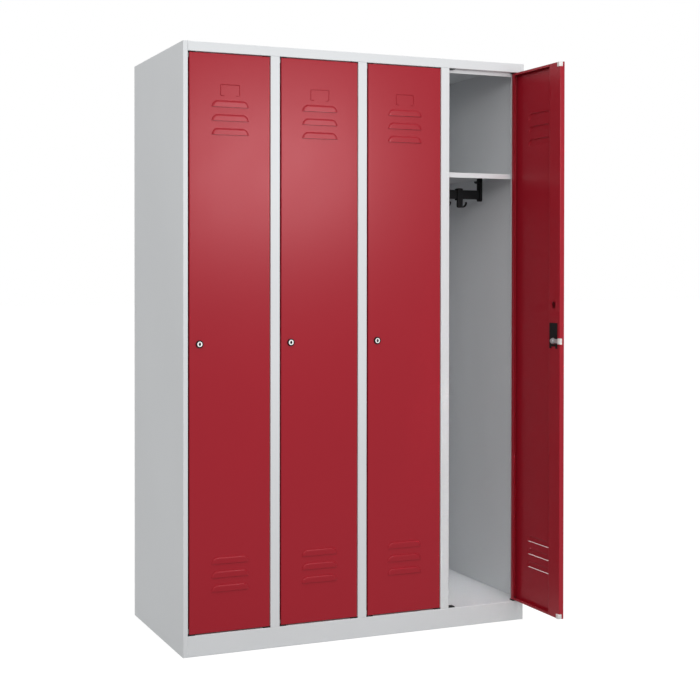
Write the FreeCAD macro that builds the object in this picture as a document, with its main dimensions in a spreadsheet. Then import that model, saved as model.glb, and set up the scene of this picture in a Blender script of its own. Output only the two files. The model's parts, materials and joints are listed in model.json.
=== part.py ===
"""Compartment locker: a folded sheet steel cabinet on a closed plinth with a row of louvred doors.

Millimetres, +X to the right, +Y to the back, +Z up. The origin is on the floor, in the middle of the
cabinet's footprint. The doors hang on the right and the last one stands open, as in use.
"""
import FreeCAD
import Part
import Sketcher
import math
import os
import re

BAYS = 4
OPEN_BAY = 4
UPRIGHT = FreeCAD.Vector(0, 0, 1)
INWARD = FreeCAD.Vector(0, 1, 0)
SIDEWAYS = FreeCAD.Vector(1, 0, 0)

# Driving dimensions, one cell each
SIZES = {
    # Cabinet
    "width": 1200.0,
    "depth": 500.0,
    "height": 1850.0,
    "sheet": 0.8,
    "bend": 2.0,
    "post": 15.5,
    "top_rail": 29.5,
    "plinth": 64.0,
    "foot_flange": 30.0,
    "back_flange": 15.0,
    # Rebate that the doors close into
    "rebate": 21.5,
    "latch_return": 17.5,
    "hinge_lip": 20.5,
    "top_lip": 11.5,
    # Hat shelf
    "shelf_drop": 365.0,
    "shelf_lip": 16.0,
    "shelf_setback": 28.0,
    # Coat rail and its hooks
    "rail_drop": 43.0,
    "rail_setback": 205.0,
    "rail_length": 230.0,
    "rail_height": 31.0,
    "rail_thickness": 10.0,
    "rail_round": 3.0,
    "bracket_thickness": 8.5,
    "bracket_depth": 22.0,
    "bracket_foot": 7.0,
    "bracket_round": 6.0,
    "barb_length": 11.0,
    "barb_height": 8.0,
    "barb_round": 6.5,
    "barb_drop": 10.0,
    "hook_spread": 64.0,
    "hook_shift": 4.0,
    "hook_width": 21.0,
    "hook_wall": 4.0,
    "hook_plate": 8.0,
    "hook_cap": 6.0,
    "hook_drop": 12.5,
    "hook_reach": 17.5,
    "hook_prong": 5.5,
    "hook_round": 5.0,
    "slide_play": 0.3,
    # Door leaf
    "gap_latch": 4.5,
    "gap_hinge": 2.5,
    "gap_top": 3.0,
    "gap_floor": 4.0,
    "door_depth": 17.0,
    "door_sheet": 0.8,
    "door_bend": 2.0,
    "latch_flange": 57.0,
    "hinge_flange": 15.0,
    "end_flange": 7.0,
    "open_angle": 90.0,
    # Louvres and label holder pressed into the leaf
    "louvre_length": 120.0,
    "louvre_height": 20.0,
    "louvre_bulge": 4.5,
    "louvre_rim": 3.5,
    "louvre_pitch": 42.0,
    "upper_louvre_drop": 193.0,
    "lower_louvre_rise": 127.0,
    "label_width": 62.0,
    "label_height": 33.0,
    "label_drop": 158.0,
    "label_rib": 2.0,
    "label_lug": 12.0,
    "label_relief": 0.8,
    # Pivots
    "pivot_inset": 11.0,
    "pivot_depth": 6.5,
    "pivot_play": 0.5,
    "pin_diameter": 6.0,
    "pin_play": 0.05,
    "pin_reach": 10.0,
    "pin_head": 10.0,
    "pin_head_height": 3.0,
    "bush_width": 23.0,
    "bush_depth": 20.0,
    "bush_setback": 1.0,
    # Lock
    "lock_height": 941.0,
    "lock_inset": 32.0,
    "rosette_diameter": 23.0,
    "rosette_height": 4.0,
    "rosette_round": 1.5,
    "barrel_diameter": 19.0,
    "barrel_play": 0.1,
    "plug_face": 18.0,
    "plug_face_height": 2.5,
    "plug_diameter": 14.0,
    "plug_play": 0.05,
    "keyhole_width": 4.0,
    "keyhole_height": 10.0,
    "keyhole_depth": 9.0,
    "cam_thickness": 3.0,
    "cam_hub": 19.0,
    "cam_neck": 13.0,
    "cam_tip": 17.0,
    "cam_bite": 9.0,
    "cam_play": 0.3,
    "screw_diameter": 5.0,
    "screw_head": 14.0,
    "screw_head_height": 5.0,
    "screw_reach": 6.0,
    "cover_width": 40.0,
    "cover_above": 57.0,
    "cover_below": 24.0,
    "cover_thickness": 1.2,
    "cover_notch": 21.0,
    "oblong_rise": 113.0,
    "oblong_width": 17.0,
    "oblong_height": 22.0,
    # Door bumpers
    "bumper_width": 14.0,
    "bumper_tall": 18.0,
    "bumper_wrap": 10.5,
    "bumper_play": 0.3,
    "bumper_round": 4.0,
}
LOUVRES = 3

# Places that several pieces share, in the words of the sheet
PITCH = f"(width / {BAYS})"
FRONT = "(-depth / 2)"
BACK = "(depth / 2)"
FACE = "(-depth / 2 + sheet)"
STOP = "(-depth / 2 + rebate)"
STOP_BACK = "(-depth / 2 + rebate + sheet)"
BACK_INSIDE = "(depth / 2 - 2 * sheet)"
RAIL_BOTTOM = "(height - top_rail)"
LIP_BOTTOM = "(height - top_rail - top_lip)"
OPENING = f"({PITCH} - 2 * post)"
SHELF_TOP = "(height - shelf_drop)"
SHELF_UNDERSIDE = "(height - shelf_drop - sheet)"
COAT_RAIL_Y = "(-depth / 2 + rail_setback)"
COAT_RAIL_TOP = f"({SHELF_TOP} - rail_drop)"
COAT_RAIL_BOTTOM = f"({COAT_RAIL_TOP} - rail_height)"
# Door places, from the pivot axis with the door closed
FREE_EDGE = f"(pivot_inset + gap_latch - {OPENING})"
HINGE_EDGE = "(pivot_inset - gap_hinge)"
DOOR_MIDDLE = f"(({FREE_EDGE} + {HINGE_EDGE}) / 2)"
DOOR_FACE = "(-pivot_depth)"
DOOR_BACK = "(door_depth - pivot_depth)"
DOOR_BOTTOM = "(plinth + gap_floor)"
DOOR_TOP = f"({RAIL_BOTTOM} - gap_top)"
LOCK_X = f"({FREE_EDGE} + lock_inset)"
BUMPER_SPAN = (FREE_EDGE, f"({FREE_EDGE} + bumper_width)")
BUMPER_LEVELS = (
    (DOOR_BOTTOM, f"({DOOR_BOTTOM} + bumper_tall)"),
    (f"({DOOR_TOP} - bumper_tall)", DOOR_TOP),
)
CAM_FRONT = f"({DOOR_BACK} + cover_thickness + cam_play)"
ROSETTE_FRONT = f"({DOOR_FACE} - rosette_height)"
KEY_FACE_BACK = f"({ROSETTE_FRONT} + plug_face_height)"

doc = FreeCAD.newDocument("locker")
sheet = doc.addObject("Spreadsheet::Sheet", "Sizes")
for row, (alias, value) in enumerate(SIZES.items(), start=1):
    sheet.set(f"A{row}", alias)
    sheet.set(f"B{row}", str(value))
    sheet.setAlias(f"B{row}", alias)
doc.recompute()

nodes = []


def cells(text):
    """Point every size word of an expression at its cell in the sheet."""
    return re.sub("[a-z_]+", lambda word: f"Sizes.{word[0]}" if word[0] in SIZES else word[0], text)


def bind(item, **expressions):
    """Tie properties of an object to expressions in the words of the sheet."""
    for name, text in expressions.items():
        item.setExpression(name, cells(text))


def place(item, x="0", y="0", z="0"):
    """Tie an object's place to expressions."""
    for axis, text in zip("xyz", (x, y, z)):
        item.setExpression(f"Placement.Base.{axis}", cells(text))


def node(item, label):
    """Keep a finished sub-part under the name of its file."""
    item.Label = label
    nodes.append(item)
    return item


def box(name, x, y, z):
    """Block between pairs of expressions, low and high on each axis."""
    item = doc.addObject("Part::Box", name)
    spans = [f"{high} - {low}" for low, high in (x, y, z)]
    bind(item, Length=spans[0], Width=spans[1], Height=spans[2])
    place(item, x[0], y[0], z[0])
    return item


def upright_cylinder(name, centre, radius, z):
    """Cylinder along Z at centre (x, y), between two heights."""
    item = doc.addObject("Part::Cylinder", name)
    bind(item, Radius=radius, Height=f"{z[1]} - {z[0]}")
    place(item, *centre, z[0])
    return item


def inward_cylinder(name, centre, radius, y, angle="360"):
    """Cylinder along Y at centre (x, z); a part turn runs from right to down."""
    item = doc.addObject("Part::Cylinder", name)
    item.Placement = FreeCAD.Placement(FreeCAD.Vector(), FreeCAD.Rotation(SIDEWAYS, -90))
    bind(item, Radius=radius, Height=f"{y[1]} - {y[0]}", Angle=angle)
    place(item, centre[0], y[0], centre[1])
    return item


def fuse(name, *pieces):
    """One solid from pieces that meet."""
    item = doc.addObject("Part::MultiFuse", name)
    item.Shapes = pieces
    item.Refine = True
    return item


def group(name, pieces):
    """Separate solids that are kept as one node."""
    item = doc.addObject("Part::Compound", name)
    item.Links = pieces
    return item


def cut(name, base, *tools):
    """A solid with tools, which lie apart from each other or meet, taken away."""
    item = doc.addObject("Part::Cut", name)
    item.Base = base
    item.Tool = tools[0] if len(tools) == 1 else fuse(f"{name}_tools", *tools)
    item.Refine = True
    return item


def on_bounds(shape, edge, bounds):
    """True if an edge lies in the named planes of the shape's bounding box, such as YMin."""
    outer, own = shape.BoundBox, edge.BoundBox
    return all(
        abs(getattr(own, side[0] + end) - getattr(outer, side)) < 1e-4
        for side in bounds
        for end in ("Min", "Max")
    )


def runs_along(edge, direction):
    """True if an edge is straight and parallel to a direction."""
    return isinstance(edge.Curve, Part.Line) and abs(edge.Curve.Direction.dot(direction)) > 0.999


def round_edges(name, base, size, bounds, direction=None):
    """Round the edges of base on the named bounding planes, with the radius from the sheet."""
    doc.recompute()
    radius = sheet.get(size)
    item = doc.addObject("Part::Fillet", name)
    item.Base = base
    item.Edges = [
        (index, radius, radius)
        for index, edge in enumerate(base.Shape.Edges, start=1)
        if on_bounds(base.Shape, edge, bounds) and (direction is None or runs_along(edge, direction))
    ]
    return item


def bay_edge(index):
    """Middle of the post after the bay of that number; 0 is the cabinet's left side."""
    return f"(-width / 2 + {index} * {PITCH})"


def bay_middle(bay):
    """Middle of a bay, across the cabinet."""
    return f"(-width / 2 + {bay - 0.5} * {PITCH})"


def bay_walls(bay):
    """Inner faces of the two walls of a bay."""
    left = "(-width / 2 + sheet)" if bay == 1 else f"({bay_edge(bay - 1)} + sheet / 2)"
    right = "(width / 2 - sheet)" if bay == BAYS else f"({bay_edge(bay)} - sheet / 2)"
    return left, right


def pivot_place(bay):
    """Pivot axis of a bay's door on the floor plan."""
    return f"({bay_edge(bay)} - post - pivot_inset)", f"({FRONT} + pivot_depth)"


def pin_holes(name, z):
    """Cutters for the pivot pins of all doors, between two heights."""
    radius = "pin_diameter / 2 + pin_play"
    return [upright_cylinder(f"{name}_{bay}", pivot_place(bay), radius, z) for bay in range(1, BAYS + 1)]


# Cabinet sheets


def left_side_panel():
    """Side wall folded round into the first latch post and a flange behind the back sheet."""
    outside, inside = "(-width / 2)", "(-width / 2 + sheet)"
    edge = "(-width / 2 + post)"
    tall = ("0", "height")
    panel = fuse(
        "left_side_fold",
        box("left_wall", (outside, inside), (FRONT, BACK), tall),
        box("left_face", (outside, edge), (FRONT, FACE), tall),
        box("left_return", (f"({edge} - sheet)", edge), (FRONT, f"({FRONT} + latch_return)"),
            ("plinth", RAIL_BOTTOM)),
        box("left_back_flange", (outside, f"({outside} + back_flange)"), (f"({BACK} - sheet)", BACK), tall),
    )
    node(round_edges("left_side", panel, "bend", ["YMin"], UPRIGHT), "left_side_panel")


def right_side_panel():
    """Side wall folded round into the last hinge post with its stop lip."""
    outside, inside = "(width / 2)", "(width / 2 - sheet)"
    edge = "(width / 2 - post)"
    tall = ("0", "height")
    panel = fuse(
        "right_side_fold",
        box("right_wall", (inside, outside), (FRONT, BACK), tall),
        box("right_face", (edge, outside), (FRONT, FACE), tall),
        box("right_return", (edge, f"({edge} + sheet)"), (FRONT, STOP), ("plinth", RAIL_BOTTOM)),
        box("right_lip", (f"({edge} - hinge_lip)", f"({edge} + sheet)"), (STOP, STOP_BACK),
            ("plinth", LIP_BOTTOM)),
        box("right_back_flange", (f"({outside} - back_flange)", outside), (f"({BACK} - sheet)", BACK), tall),
    )
    node(round_edges("right_side", panel, "bend", ["YMin"], UPRIGHT), "right_side_panel")


def back_panel():
    """Flat sheet against the flanges of the two sides."""
    across = ("(-width / 2 + sheet)", "(width / 2 - sheet)")
    sheet_box = box("back_sheet", across, (BACK_INSIDE, f"({BACK} - sheet)"), ("0", "(height - sheet)"))
    node(sheet_box, "back_panel")


def roof_panel():
    """Roof folded down into the top rail, back into its soffit and down again into the stop lip."""
    across = ("(-width / 2 + post)", "(width / 2 - post)")
    panel = fuse(
        "roof_fold",
        box("roof_sheet", ("(-width / 2 + sheet)", "(width / 2 - sheet)"), (FACE, f"({BACK} - sheet)"),
            ("(height - sheet)", "height")),
        box("roof_rail", across, (FRONT, FACE), (RAIL_BOTTOM, "height")),
        box("roof_soffit", across, (FRONT, STOP), (RAIL_BOTTOM, f"({RAIL_BOTTOM} + sheet)")),
        box("roof_lip", across, (STOP, STOP_BACK), (LIP_BOTTOM, f"({RAIL_BOTTOM} + sheet)")),
    )
    rounded = round_edges("roof_rounded", panel, "bend", ["YMin"], SIDEWAYS)
    holes = pin_holes("roof_pin_hole", (LIP_BOTTOM, f"({RAIL_BOTTOM} + top_rail / 2)"))
    node(cut("roof", rounded, *holes), "roof_panel")


def floor_panel():
    """Floor folded down into the plinth front and back into the flange that it stands on."""
    across = ("(-width / 2 + post)", "(width / 2 - post)")
    panel = fuse(
        "floor_fold",
        box("floor_sheet", ("(-width / 2 + sheet)", "(width / 2 - sheet)"), (FACE, BACK_INSIDE),
            ("(plinth - sheet)", "plinth")),
        box("plinth_face", across, (FRONT, FACE), ("0", "plinth")),
        box("plinth_foot", across, (FRONT, f"({FRONT} + foot_flange)"), ("0", "sheet")),
    )
    rounded = round_edges("floor_rounded", panel, "bend", ["YMin"], SIDEWAYS)
    holes = pin_holes("floor_pin_hole", ("(plinth / 2)", DOOR_BOTTOM))
    node(cut("floor", rounded, *holes), "floor_panel")


def front_post(index):
    """Folded post between two bays: hinge rebate with stop lip on its left, latch return on its right."""
    middle = bay_edge(index)
    left, right = f"({middle} - post)", f"({middle} + post)"
    tall = ("plinth", RAIL_BOTTOM)
    post = fuse(
        f"post_{index}_fold",
        box(f"post_{index}_face", (left, right), (FRONT, FACE), tall),
        box(f"post_{index}_return", (left, f"({left} + sheet)"), (FRONT, STOP), tall),
        box(f"post_{index}_lip", (f"({left} - hinge_lip)", f"({left} + sheet)"), (STOP, STOP_BACK),
            ("plinth", LIP_BOTTOM)),
        box(f"post_{index}_latch", (f"({right} - sheet)", right), (FRONT, f"({FRONT} + latch_return)"), tall),
    )
    node(round_edges(f"post_{index}", post, "bend", ["YMin"], UPRIGHT), f"front_post_{index}")


def partition(index):
    """Wall between two bays, notched under the top rail and flanged along the back sheet."""
    left, right = f"({bay_edge(index)} - sheet / 2)", f"({bay_edge(index)} + sheet / 2)"
    wall = fuse(
        f"partition_{index}_fold",
        box(f"partition_{index}_wall", (left, right), (STOP_BACK, BACK_INSIDE), ("plinth", "(height - sheet)")),
        box(f"partition_{index}_front", (left, right), (FACE, STOP_BACK), ("plinth", LIP_BOTTOM)),
        box(f"partition_{index}_flange", (left, f"({left} + back_flange)"),
            (f"({BACK_INSIDE} - sheet)", BACK_INSIDE), ("plinth", "(height - sheet)")),
    )
    node(wall, f"partition_{index}")


# Fittings inside a bay


def hat_shelf(bay):
    """Shelf with all four edges folded down, from wall to wall."""
    left, right = bay_walls(bay)
    front, back = f"({FRONT} + shelf_setback)", f"({BACK_INSIDE} - sheet)"
    bottom = f"({SHELF_TOP} - shelf_lip)"
    tray = box(f"shelf_{bay}_tray", (left, right), (front, back), (bottom, SHELF_TOP))
    hollow = box(f"shelf_{bay}_hollow", (f"({left} + sheet)", f"({right} - sheet)"),
                 (f"({front} + sheet)", f"({back} - sheet)"), (bottom, SHELF_UNDERSIDE))
    node(cut(f"shelf_{bay}", tray, hollow), f"hat_shelf_{bay}")


def coat_rail(bay):
    """Moulded rail that hangs from the shelf on two brackets with snap barbs."""
    middle = bay_middle(bay)
    ends = f"({middle} - rail_length / 2)", f"({middle} + rail_length / 2)"
    across = (f"({COAT_RAIL_Y} - rail_thickness / 2)", f"({COAT_RAIL_Y} + rail_thickness / 2)")
    bracket_y = (f"({COAT_RAIL_Y} - bracket_depth / 2)", f"({COAT_RAIL_Y} + bracket_depth / 2)")
    bracket_z = (f"({COAT_RAIL_BOTTOM} - bracket_foot)", SHELF_UNDERSIDE)
    barb_z = (f"({SHELF_UNDERSIDE} - barb_drop - barb_height)", f"({SHELF_UNDERSIDE} - barb_drop)")
    bar = box(f"rail_{bay}_bar", ends, across, (COAT_RAIL_BOTTOM, COAT_RAIL_TOP))
    pieces = [round_edges(f"rail_{bay}_rounded", bar, "rail_round", [], SIDEWAYS)]
    for side, sign, end in (("left", "+", ends[0]), ("right", "-", ends[1])):
        inner = f"({end} {sign} bracket_thickness)"
        tip = f"({inner} {sign} barb_length)"
        bracket_x = (end, inner) if sign == "+" else (inner, end)
        barb_x = (inner, tip) if sign == "+" else (tip, inner)
        block = box(f"rail_{bay}_{side}", bracket_x, bracket_y, bracket_z)
        pieces.append(round_edges(f"rail_{bay}_{side}_bracket", block, "bracket_round", ["ZMin"], SIDEWAYS))
        barb = box(f"rail_{bay}_{side}_barb", barb_x, bracket_y, barb_z)
        tip_side = "XMax" if sign == "+" else "XMin"
        pieces.append(round_edges(f"rail_{bay}_{side}_rounded_barb", barb, "barb_round", ["ZMin", tip_side]))
    node(fuse(f"rail_{bay}", *pieces), f"coat_rail_{bay}")


def coat_hook(bay, side, sign):
    """Hook with a sleeve that slides on the rail, a flat stem and a prong that curls up to the right."""
    name = f"hook_{bay}_{side}"
    middle = f"({bay_middle(bay)} - hook_shift {sign} hook_spread / 2)"
    left, right = f"({middle} - hook_width / 2)", f"({middle} + hook_width / 2)"
    front = f"({COAT_RAIL_Y} - rail_thickness / 2 - slide_play - hook_wall)"
    back = f"({COAT_RAIL_Y} + rail_thickness / 2 + slide_play + hook_wall)"
    plate = (front, f"({front} + hook_plate)")
    centre_z = f"({COAT_RAIL_BOTTOM} - hook_drop)"
    sleeve_z = (f"({COAT_RAIL_BOTTOM} - slide_play - hook_wall)", f"({COAT_RAIL_TOP} + hook_cap)")
    sleeve = box(f"{name}_block", (left, right), (front, back), sleeve_z)
    stem = box(f"{name}_plate", (left, right), plate, (f"({centre_z} - hook_reach)", sleeve_z[0]))
    hook = fuse(
        f"{name}_fused",
        round_edges(f"{name}_sleeve", sleeve, "hook_round", ["ZMax"], INWARD),
        round_edges(f"{name}_stem", stem, "hook_round", ["ZMin", "XMin"], INWARD),
        cut(f"{name}_prong", inward_cylinder(f"{name}_bend", (right, centre_z), "hook_reach", plate, "90"),
            inward_cylinder(f"{name}_mouth", (right, centre_z), "(hook_reach - hook_prong)", plate)),
        inward_cylinder(f"{name}_tip", (f"({right} + hook_reach - hook_prong / 2)", centre_z),
                        "hook_prong / 2", plate),
    )
    passage = box(
        f"{name}_passage",
        (f"({left} - hook_width)", f"({right} + hook_width)"),
        (f"({front} + hook_wall)", f"({back} - hook_wall)"),
        (f"({COAT_RAIL_BOTTOM} - slide_play)", f"({COAT_RAIL_TOP} + slide_play)"),
    )
    node(cut(name, hook, passage), f"coat_hook_{bay}_{side}")


# Pivots


def corner_bushes():
    """Bearing plates in the four corners of every opening, so that a door can hang on either side."""
    bushes = []
    y = (f"({FRONT} + bush_setback)", f"({FRONT} + bush_depth)")
    levels = {
        "floor": ("plinth", f"({DOOR_BOTTOM} - pivot_play)"),
        "top": (f"({DOOR_TOP} + pivot_play)", RAIL_BOTTOM),
    }
    for bay in range(1, BAYS + 1):
        left, right = f"({bay_edge(bay - 1)} + post)", f"({bay_edge(bay)} - post)"
        sides = {
            "latch": ((left, f"({left} + bush_width)"), f"({left} + pivot_inset)"),
            "hinge": ((f"({right} - bush_width)", right), f"({right} - pivot_inset)"),
        }
        for level, z in levels.items():
            for side, (x, pivot_x) in sides.items():
                name = f"bush_{bay}_{level}_{side}"
                hole = upright_cylinder(f"{name}_hole", (pivot_x, pivot_place(bay)[1]),
                                        "pin_diameter / 2 + pin_play", z)
                bushes.append(cut(name, box(f"{name}_plate", x, y, z), hole))
    node(group("bushes", bushes), "corner_bushes")


def hinge_pins():
    """Headed pins through the soffit and the floor that carry the doors."""
    pins = []
    soffit, underside = f"({RAIL_BOTTOM} + sheet)", "(plinth - sheet)"
    for bay in range(1, BAYS + 1):
        centre = pivot_place(bay)
        pins.append(fuse(
            f"top_pin_{bay}",
            upright_cylinder(f"top_pin_{bay}_shank", centre, "pin_diameter / 2",
                             (f"({DOOR_TOP} - pin_reach)", soffit)),
            upright_cylinder(f"top_pin_{bay}_head", centre, "pin_head / 2",
                             (soffit, f"({soffit} + pin_head_height)")),
        ))
        pins.append(fuse(
            f"floor_pin_{bay}",
            upright_cylinder(f"floor_pin_{bay}_shank", centre, "pin_diameter / 2",
                             (underside, f"({DOOR_BOTTOM} + pin_reach)")),
            upright_cylinder(f"floor_pin_{bay}_head", centre, "pin_head / 2",
                             (f"({underside} - pin_head_height)", underside)),
        ))
    node(group("pins", pins), "hinge_pins")


# Door leaf, drawn closed about its pivot axis


def sketch_on(body, name, role, offset):
    """Sketch on one of the body's own planes, moved along its normal by an expression."""
    plane = next(item for item in body.Origin.OriginFeatures if item.Role == role)
    item = body.newObject("Sketcher::SketchObject", name)
    item.AttachmentSupport = (plane, [""])
    item.MapMode = "FlatFace"
    item.setExpression("AttachmentOffset.Base.z", cells(offset))
    return item


def hold(sketch, geometry, point, x, y):
    """Tie a point of a sketch to two expressions, measured from the sketch's origin."""
    for kind, text in (("DistanceX", x), ("DistanceY", y)):
        index = sketch.addConstraint(Sketcher.Constraint(kind, -1, 1, geometry, point, 1.0))
        sketch.setExpression(f"Constraints[{index}]", cells(text))


def outline(sketch, corners):
    """Closed outline through corners, each a pair of expressions."""
    first, count = sketch.GeometryCount, len(corners)
    turns = [2 * math.pi * step / count for step in range(count + 1)]
    points = [FreeCAD.Vector(math.cos(turn), math.sin(turn), 0) for turn in turns]
    for start, end in zip(points, points[1:]):
        sketch.addGeometry(Part.LineSegment(start, end))
    for step, corner in enumerate(corners):
        following = first + (step + 1) % count
        sketch.addConstraint(Sketcher.Constraint("Coincident", first + step, 2, following, 1))
        hold(sketch, first + step, 1, *corner)


def rectangle(sketch, x, y):
    """Outline between a pair of expressions on each axis."""
    outline(sketch, [(x[0], y[0]), (x[1], y[0]), (x[1], y[1]), (x[0], y[1])])


def circle(sketch, x, y, radius):
    """Circle about a point, all in expressions."""
    index = sketch.addGeometry(Part.Circle(FreeCAD.Vector(), UPRIGHT, 1.0))
    hold(sketch, index, 3, x, y)
    size = sketch.addConstraint(Sketcher.Constraint("Radius", index, 1.0))
    sketch.setExpression(f"Constraints[{size}]", cells(radius))


def arc(sketch, centre, radius, start, end):
    """Arc for a first guess, with its angles in degrees."""
    round_line = Part.Circle(FreeCAD.Vector(*centre, 0), UPRIGHT, radius)
    return sketch.addGeometry(Part.ArcOfCircle(round_line, math.radians(start), math.radians(end)))


def line(sketch, start, end):
    """Straight line for a first guess."""
    return sketch.addGeometry(Part.LineSegment(FreeCAD.Vector(*start, 0), FreeCAD.Vector(*end, 0)))


def louvre_outline(sketch, bottom, inset):
    """Louvre: straight lower edge, quarter round ends and a shorter straight upper edge."""
    half, round_end = sheet.get("louvre_length") / 2, sheet.get("louvre_height")
    base = line(sketch, (-half, 0), (half, 0))
    right = arc(sketch, (half - round_end, 0), round_end, 0, 90)
    top = line(sketch, (half - round_end, round_end), (round_end - half, round_end))
    left = arc(sketch, (round_end - half, 0), round_end, 90, 180)
    loop = (base, right, top, left)
    for here, following in zip(loop, loop[1:] + loop[:1]):
        sketch.addConstraint(Sketcher.Constraint("Coincident", here, 2, following, 1))
    sketch.addConstraint(Sketcher.Constraint("Horizontal", base))
    sketch.addConstraint(Sketcher.Constraint("Equal", right, left))
    for end, upper in ((right, 2), (left, 1)):
        sketch.addConstraint(Sketcher.Constraint("PointOnObject", end, 3, base))
        sketch.addConstraint(Sketcher.Constraint("Vertical", end, 3, end, upper))
    size = sketch.addConstraint(Sketcher.Constraint("Radius", right, round_end))
    sketch.setExpression(f"Constraints[{size}]", cells(f"louvre_height - {inset}"))
    hold(sketch, base, 1, f"{DOOR_MIDDLE} - louvre_length / 2 + {inset}", bottom)
    span = sketch.addConstraint(Sketcher.Constraint("DistanceX", base, 1, base, 2, 2 * half))
    sketch.setExpression(f"Constraints[{span}]", cells(f"louvre_length - 2 * {inset}"))


def stadium(sketch, x, y, width, height):
    """Upright slot with round ends about a point."""
    radius, reach = 1.0, 2.0
    right = line(sketch, (radius, -reach), (radius, reach))
    top = arc(sketch, (0, reach), radius, 0, 180)
    left = line(sketch, (-radius, reach), (-radius, -reach))
    bottom = arc(sketch, (0, -reach), radius, 180, 360)
    for first, second in ((right, top), (top, left), (left, bottom), (bottom, right)):
        sketch.addConstraint(Sketcher.Constraint("Tangent", first, 2, second, 1))
    size = sketch.addConstraint(Sketcher.Constraint("Radius", top, radius))
    sketch.setExpression(f"Constraints[{size}]", cells(f"{width} / 2"))
    sketch.addConstraint(Sketcher.Constraint("Equal", top, bottom))
    hold(sketch, top, 3, x, f"{y} + ({height} - {width}) / 2")
    hold(sketch, bottom, 3, x, f"{y} - ({height} - {width}) / 2")


def pad(body, name, profile, length):
    """Grow the body from a sketch along its normal."""
    item = body.newObject("PartDesign::Pad", name)
    item.Profile = profile
    bind(item, Length=length)
    return item


def pocket(body, name, profile, length=None, reverse=False):
    """Cut the body against the sketch's normal, right through if no length is given."""
    item = body.newObject("PartDesign::Pocket", name)
    item.Profile = profile
    item.Reversed = reverse
    if length is None:
        item.Type = "ThroughAll"
    else:
        bind(item, Length=length)
    return item


def round_body(body, name, feature, radius, chosen):
    """Round the edges of the body's last feature that a test picks."""
    doc.recompute()
    item = body.newObject("PartDesign::Fillet", name)
    edges = [f"Edge{n}" for n, edge in enumerate(feature.Shape.Edges, start=1) if chosen(edge)]
    item.Base = (feature, edges)
    bind(item, Radius=radius)
    return item


def repeat_louvre(body, name, feature):
    """Repeat the lowest louvre up its own group and again in the group under the label."""
    upright = next(item for item in body.Origin.OriginFeatures if item.Role == "Z_Axis")
    group_rise = "height - upper_louvre_drop - plinth - lower_louvre_rise"
    spans = {"group": (LOUVRES, f"{LOUVRES - 1} * louvre_pitch"),
             "groups": (2, f"{group_rise} - {LOUVRES - 1} * louvre_pitch")}
    steps = []
    item = body.newObject("PartDesign::MultiTransform", name)
    item.Originals = [feature]
    for word, (count, length) in spans.items():
        step = doc.addObject("PartDesign::LinearPattern", f"{name}_{word}")
        step.Direction = (upright, [""])
        step.Occurrences = count
        bind(step, Length=length)
        steps.append(step)
    item.Transformations = steps
    body.Tip = item
    return item


def louvre_rims(level, length):
    """Test for the rim edges of the louvres at a depth, without their open lower edges."""
    def chosen(edge):
        bounds = edge.BoundBox
        at_level = abs(bounds.YMin - level) < 1e-4 and abs(bounds.YMax - level) < 1e-4
        return at_level and edge.Length < length - 1e-3
    return chosen


def label_ribs(sketch):
    """Two facing brackets that a label card slides behind."""
    half, bottom = "label_width / 2", "(height - label_drop)"
    top = f"({bottom} + label_height)"
    for sign in "-+":
        back = "+" if sign == "-" else "-"
        outer = f"({DOOR_MIDDLE} {sign} {half})"
        inner = f"({outer} {back} label_rib)"
        tip = f"({outer} {back} label_lug)"
        low, high = f"({bottom} + label_rib)", f"({top} - label_rib)"
        outline(sketch, [(outer, bottom), (tip, bottom), (tip, low), (inner, low),
                         (inner, high), (tip, high), (tip, top), (outer, top)])


def hang_on_pivot(item, bay):
    """Place a piece drawn about the pivot axis at its door, open or closed."""
    angle = sheet.get("open_angle") if bay == OPEN_BAY else 0.0
    item.Placement = FreeCAD.Placement(FreeCAD.Vector(), FreeCAD.Rotation(UPRIGHT, angle))
    place(item, *pivot_place(bay))


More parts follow.
